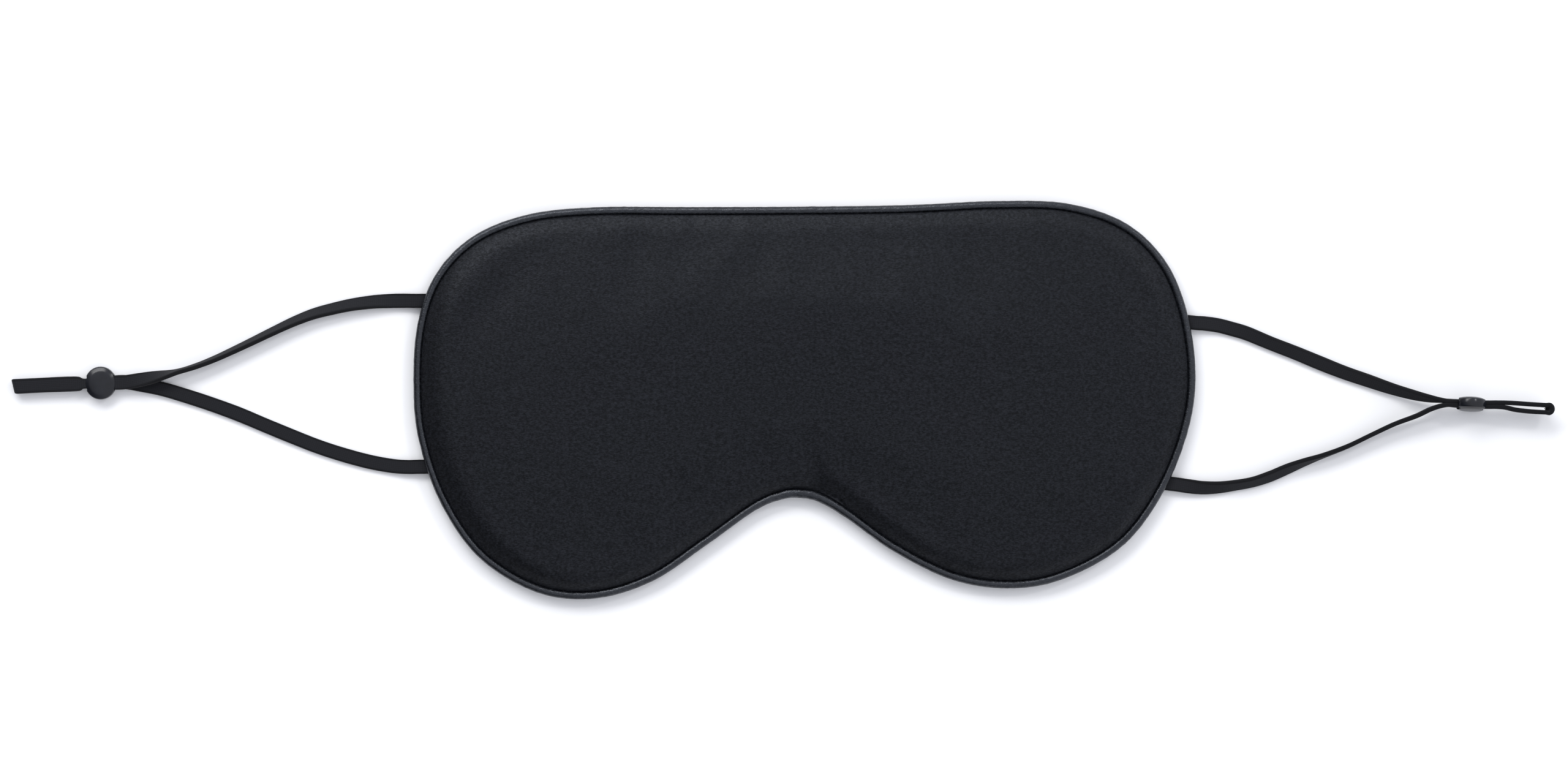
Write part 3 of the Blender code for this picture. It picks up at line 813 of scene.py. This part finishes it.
def flat_sheet(inset, spacing):
    """A triangulated flat sheet that ends at inset: its points, its triangles and its rim."""
    rim = edge_ring(inset)
    low, high = rim.min(0), rim.max(0)
    rows = []
    for j, y in enumerate(np.arange(low[1], high[1], spacing * math.sqrt(3) / 2)):
        start = low[0] + (spacing / 2 if j % 2 else 0)
        rows += [(x, y) for x in np.arange(start, high[0], spacing)]
    grid = np.array(rows)
    grid = grid[points_inside(grid)]
    rim_inset = inset + NOTCH_RETREAT * crowding(grid)
    grid = grid[nearest_outline(grid)[0] > rim_inset + spacing * RIM_CLEARANCE]
    points = [Vector(p) for p in np.vstack([rim, grid])]
    verts, _, faces, *_ = delaunay_2d_cdt(points, [], [list(range(len(rim)))], 1, 1e-5)
    return np.array([tuple(v) for v in verts]), [tuple(f) for f in faces], len(rim)


def points_inside(points):
    """Whether each point is inside the outline, by counting the edges to its right."""
    inside = np.zeros(len(points), bool)
    for a, b in zip(OUTLINE, np.roll(OUTLINE, -1, 0)):
        crosses = (a[1] > points[:, 1]) != (b[1] > points[:, 1])
        if a[1] != b[1]:
            at = a[0] + (points[:, 1] - a[1]) / (b[1] - a[1]) * (b[0] - a[0])
            inside ^= crosses & (points[:, 0] < at)
    return inside


def front_height(points):
    """A flat-topped pillow: low along the forehead edge, steep below, and broad at the -X end."""
    x, y = points[:, 0], points[:, 1]
    forehead = smooth_step(y, 5, 40) * (1 - smooth_step(-x, 84, 104))
    below = 1 - smooth_step(y, -30, 5)
    end = smooth_step(-x, 66, 98) * (1 - smooth_step(y, 30, 52))
    flank = np.minimum(1, np.exp(-(((x - 20) / 11) ** 2) - ((y + 35) / 11) ** 2)
                       + np.exp(-(((x - 7) / 6) ** 2) - ((y + 27) / 8) ** 2))
    rise = EDGE_RISE - 0.8 * forehead + 0.7 * below * (1 - end) + 0.5 * end + 0.4 * flank
    run = EDGE_RUN + 0.8 * forehead - 0.8 * below * (1 - end) + 3.4 * end + 2.4 * flank
    depth = nearest_outline(points)[0] - SHEET_INSET
    edge = 1 - np.clip(depth / run, 0, 1)
    crown = 1 - np.clip(depth / CROWN_RUN, 0, 1)
    height = FRONT_EDGE + rise * (1 - edge**2) + (FRONT_RISE - rise) * (1 - crown**2)
    waves = 0.14 * wavy(points, 52.0, 3.1) + 0.09 * wavy(points, 23.0, 6.4)
    return height + waves * smooth_step(depth, 4, 20)


def pockets(points):
    """1 beside the four places where the elastic enters the seam, and 0 elsewhere."""
    near = np.zeros(len(points))
    for side, legs in LEGS.items():
        for leg in legs.values():
            away = sewn_direction(side)
            start = np.array(leg[0][:2])
            rel = np.asarray(points) - start
            direction = np.array(away[:2])
            inwards = -rel @ direction
            aside = np.abs(rel @ np.array([-direction[1], direction[0]]))
            beside = 1 - smooth_step(aside, 2.6, 6.5)
            near = np.maximum(near, beside * (1 - smooth_step(inwards, 9.5, 14)))
    return near


def back_height(points):
    inset = nearest_outline(points)[0]
    share = np.clip((inset - SHEET_INSET) / (BACK_FLAT_INSET - SHEET_INSET), 0, 1)
    height = BACK_EDGE * (1 - share) ** 1.8
    return height * (1 - pockets(points)) + np.minimum(height, 0.42) * pockets(points)


def puckers(points):
    """Small gathers of the front cover along its seam, and the fold at the top of the notch."""
    inset, place, inward = nearest_outline(points)
    along = np.column_stack([place, inset * 0.35])
    gathers = wavy(along, 3.4, 7.7) + 0.6 * wavy(along, 7.5, 1.3)
    top_left = np.exp(-(((points[:, 0] + 30) / 34) ** 2)) * (points[:, 1] > 20)
    lobe = np.exp(-(((points[:, 0] + 72) / 16) ** 2)) * (points[:, 1] < -20)
    strength = 0.035 + 0.20 * top_left + 0.14 * lobe
    fade = np.exp(-(inset - SHEET_INSET) / (3.2 + 5.0 * top_left))
    relief = gathers * strength * fade
    # The pull at the notch: a hollow that runs from its top up into the pad and along its +X flank.
    for start, end, width, depth in (((0.5, -10.0), (2.6, -22.5), 2.2, 0.8),
                                     ((2.2, -22.0), (8.5, -28.0), 2.8, 1.1)):
        a, b = np.array(start), np.array(end)
        t = np.clip(((points - a) @ (b - a)) / ((b - a) @ (b - a)), 0, 1)
        off = np.linalg.norm(points - (a + t[:, None] * (b - a)), axis=1)
        relief -= depth * np.exp(-((off / width) ** 2)) * (0.25 + 0.75 * t)
    return relief


def relaxed(name, flat, triangles, heights, rim_count, pressure):
    """The sheet as cloth held at its rim and filled from below: how far each point moves, in mm."""
    points = np.column_stack([flat, heights])
    obj = mesh_object(name, points, triangles)
    seam = obj.vertex_groups.new(name="seam")
    seam.add(list(range(rim_count)), 1.0, "REPLACE")
    cloth = obj.modifiers.new("cloth", "CLOTH")
    settings = cloth.settings
    settings.quality = 6
    settings.mass = 0.1
    settings.tension_stiffness = 12
    settings.compression_stiffness = 12
    settings.shear_stiffness = 4
    settings.bending_stiffness = 0.4
    settings.air_damping = 2
    settings.vertex_group_mass = "seam"
    settings.shrink_min = -0.0025
    settings.use_pressure = True
    settings.uniform_pressure_force = pressure
    settings.effector_weights.gravity = 0
    cloth.collision_settings.use_collision = False
    scene = bpy.context.scene
    for number in range(1, CLOTH_FRAMES + 1):
        scene.frame_set(number)
    evaluated = obj.evaluated_get(bpy.context.evaluated_depsgraph_get())
    moved = np.array([tuple(v.co) for v in evaluated.data.vertices]) / MM - points
    edges = np.array([tuple(e.vertices) for e in obj.data.edges])
    for _ in range(CLOTH_SMOOTHING):
        total, count = np.zeros_like(moved), np.zeros(len(moved))
        for one, other in ((0, 1), (1, 0)):
            np.add.at(total, edges[:, one], moved[edges[:, other]])
            np.add.at(count, edges[:, one], 1)
        moved = np.where(np.arange(len(moved))[:, None] < rim_count, moved,
                         moved * 0.5 + total / count[:, None] * 0.5)
    scene.frame_set(1)
    bpy.data.objects.remove(obj)
    return moved


def cover(name, heights_at, skirt_heights, pressure, cap, floor=None, relief=None):
    """One cover of the pad: a simulated sheet whose edge turns into the seam."""
    flat, triangles, rim_count = flat_sheet(SHEET_INSET, GRID_SPACING)
    heights = heights_at(flat)
    points = np.column_stack([flat, heights])
    moved = relaxed(name + "_cloth", flat, triangles, heights, rim_count, pressure)
    size = np.linalg.norm(moved, axis=1)
    points += moved * (np.minimum(size, cap) / np.maximum(size, 1e-9))[:, None]
    if floor is None:
        points[:, 2] = np.maximum(points[:, 2], heights - 0.2)
    if relief is not None:
        points[:, 2] += relief(flat)
    if floor is not None:
        points[:, 2] = np.maximum(points[:, 2], floor)
    rings = [list(range(rim_count))]
    extra = []
    for inset, height in zip(SKIRT_INSETS, skirt_heights):
        ring = edge_ring(inset)
        z = np.full(len(ring), height)
        if floor is not None:
            pocket = pockets(ring)
            z = z * (1 - pocket) + BAND_POCKET_HEIGHT * pocket
        rings.append([len(points) + sum(map(len, extra)) + i for i in range(rim_count)])
        extra.append(np.column_stack([ring, z]))
    points = np.vstack([points, *extra])
    faces = list(triangles)
    for one, other in zip(rings, rings[1:]):
        faces += [(one[i - 1], one[i], other[i], other[i - 1]) for i in range(rim_count)]
    obj = mesh_object(name, points, faces)
    facing = np.mean([p.normal.z for p in obj.data.polygons])
    if (facing < 0) == (floor is None):
        obj.data.flip_normals()
    smooth = obj.modifiers.new("smooth", "SUBSURF")
    smooth.levels = smooth.render_levels = 1
    thick = obj.modifiers.new("thick", "SOLIDIFY")
    thick.thickness = COVER_THICKNESS * MM
    thick.offset = -1
    return obj


def swept_ring(name, centres, section_at):
    """A closed tube round the pad. section_at(i) gives the insets and heights at outline point i."""
    first = section_at(0)
    count, girth = len(centres), len(first)
    normals = inward_normals(centres)
    points = []
    for i in range(count):
        for inset, height in section_at(i):
            x, y = centres[i] + normals[i] * inset
            points.append((x, y, height))
    faces = [(i * girth + j, i * girth + (j + 1) % girth,
              (i + 1) % count * girth + (j + 1) % girth, (i + 1) % count * girth + j)
             for i in range(count) for j in range(girth)]
    obj = mesh_object(name, points, faces)
    around = np.cumsum([0] + [math.dist(first[j - 1], first[j]) for j in range(1, girth)])
    step = np.linalg.norm(centres[1] - centres[0])
    uv = obj.data.uv_layers.new(name="weave").data
    for polygon in obj.data.polygons:
        rings = [obj.data.loops[k].vertex_index // girth for k in polygon.loop_indices]
        wraps = max(rings) - min(rings) > 1
        for loop, ring in zip(polygon.loop_indices, rings):
            corner = obj.data.loops[loop].vertex_index % girth
            uv[loop].uv = ((ring + (count if wraps and ring == 0 else 0)) * step, around[corner])
    return obj


def make_piping(material):
    """The bias strip round its cord, in small slanting wrinkles, crowded together at the notch."""
    centres = evenly(through_points(PAD_OUTLINE, OUTLINE_SAMPLES * 3, closed=True), PIPING_STEP)
    crowd = crowding(centres)
    outer_half = FLANGE_HALF_GAP + STRIP_THICKNESS
    inner_radius = PIPING_RADIUS - STRIP_THICKNESS
    outer_end = 180 - math.degrees(math.asin(outer_half / PIPING_RADIUS))
    inner_end = 180 - math.degrees(math.asin(FLANGE_HALF_GAP / inner_radius))
    outer = [math.radians(outer_end - 2 * outer_end * k / 22) for k in range(23)]
    inner = [math.radians(-inner_end + 2 * inner_end * k / 12) for k in range(13)]

    def section(i):
        made = [(FLANGE_INSET, PIPING_HEIGHT + outer_half)]
        run = i * PIPING_STEP
        crowded = crowd[i]
        middle = PIPING_RADIUS * (1 + NOTCH_SWELL * crowded)
        swell = middle + 0.02 * noise.noise(Vector((run / 14, 5.5, 0)))
        for angle in outer:
            slant = run + 0.9 * angle
            wrinkle = noise.noise(Vector((slant / 1.15, angle * 0.7, 2.0)))
            crease = noise.noise(Vector((slant / 2.6, angle * 0.5, 9.0)))
            hold = max(0.0, math.cos(angle / 2)) ** 0.5
            radius = swell + (0.045 * wrinkle + 0.05 * crease) * hold * (1 + crowded)
            made.append((middle - radius * math.cos(angle),
                         PIPING_HEIGHT + radius * math.sin(angle)))
        made += [(FLANGE_INSET, PIPING_HEIGHT - outer_half),
                 (FLANGE_INSET, PIPING_HEIGHT - FLANGE_HALF_GAP)]
        made += [(PIPING_RADIUS - inner_radius * math.cos(a), PIPING_HEIGHT + inner_radius * math.sin(a))
                 for a in inner]
        made.append((FLANGE_INSET, PIPING_HEIGHT + FLANGE_HALF_GAP))
        return made

    obj = swept_ring("piping_strip", centres, section)
    return finish_object(obj, "mask", material, ("piping_cover",))


def make_cord(material):
    """The cotton cord in the piping, three plies twisted together."""
    centres = evenly(through_points(PAD_OUTLINE, OUTLINE_SAMPLES * 2, closed=True), CORD_STEP)

    def section(i):
        made = []
        for k in range(12):
            angle = 2 * math.pi * k / 12
            ply = math.cos(3 * angle + i * CORD_STEP / CORD_LAY * 2 * math.pi)
            radius = CORD_RADIUS - CORD_PLY_DEPTH + CORD_PLY_DEPTH * ply
            made.append((PIPING_RADIUS - radius * math.cos(angle),
                         PIPING_HEIGHT + radius * math.sin(angle)))
        return made

    obj = swept_ring("twisted_cord", centres, section)
    return finish_object(obj, "mask", material, ("piping_cord",))


def make_wadding():
    """The closed soft layer between the covers, flat below, with a rounded edge."""
    flat, triangles, rim_count = flat_sheet(WADDING_INSET, WADDING_SPACING)
    depth = np.clip((nearest_outline(flat)[0] - WADDING_INSET) / WADDING_ROUNDING, 0, 1)
    swell = np.sqrt(1 - (1 - depth) ** 2)
    top = WADDING_EDGE + (front_height(flat) - WADDING_BELOW_COVER - WADDING_EDGE) * swell
    bottom = WADDING_EDGE + (WADDING_BOTTOM - WADDING_EDGE) * swell
    inner = np.arange(rim_count, len(flat))
    below = {i: i for i in range(rim_count)}
    below.update({int(i): len(flat) + n for n, i in enumerate(inner)})
    points = np.vstack([np.column_stack([flat, top]), np.column_stack([flat, bottom])[inner]])
    faces = list(triangles) + [tuple(below[i] for i in reversed(t)) for t in triangles]
    return mesh_object("wadding", points, faces)


def make_pad(satin, foam):
    front = cover("satin_front_cover", front_height, FRONT_SKIRT_HEIGHTS, 1.0, 1.2, relief=puckers)
    finish_object(front, "mask", satin, ("front_cover",))
    back = cover("satin_back_cover", back_height, BACK_SKIRT_HEIGHTS, 1.0, 0.8, floor=LOWEST)
    finish_object(back, "mask", satin, ("back_cover",))
    filling = make_wadding()
    finish_object(filling, "mask", foam, ("foam_filling",))
    return front, back, filling


def dress_hidden_nodes(materials):
    """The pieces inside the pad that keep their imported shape."""
    for node, material in materials.items():
        mesh = frame["nodes"][node].data
        mesh.materials.clear()
        mesh.materials.append(material)


def main():
    make_camera()
    elastic, silicone = elastic_material(), silicone_material()
    for side in ("left", "right"):
        bead = make_bead(side, silicone)
        band, path, length = make_loop(side, elastic)
    satin = satin_material("cover_satin", (0.0000, 0.0000, 0.0002), (0.0112, 0.0120, 0.0150),
                           0.41, 0.165, 0.75)
    bias = satin_material("piping_satin", (0.0003, 0.0004, 0.0010), (0.011, 0.012, 0.015),
                          0.25, 0.52, 0.0)
    lining = woven_material("lining_weave", (0.012, 0.012, 0.012), (0.03, 0.03, 0.03),
                            0.5, 0.8, 0.08)
    front, back, filling = make_pad(satin, foam_material())
    make_piping(bias)
    make_cord(yarn_material("cotton_yarn", (0.40, 0.38, 0.33), (0.66, 0.63, 0.57), 1.1, 0.9))
    dress_hidden_nodes({
        "light_block_liner": lining,
        "seam_thread": woven_material("sewing_thread", (0.008, 0.008, 0.009),
                                      (0.02, 0.02, 0.022), 0.3, 0.6, 0.03),
    })
    make_stage()


main()
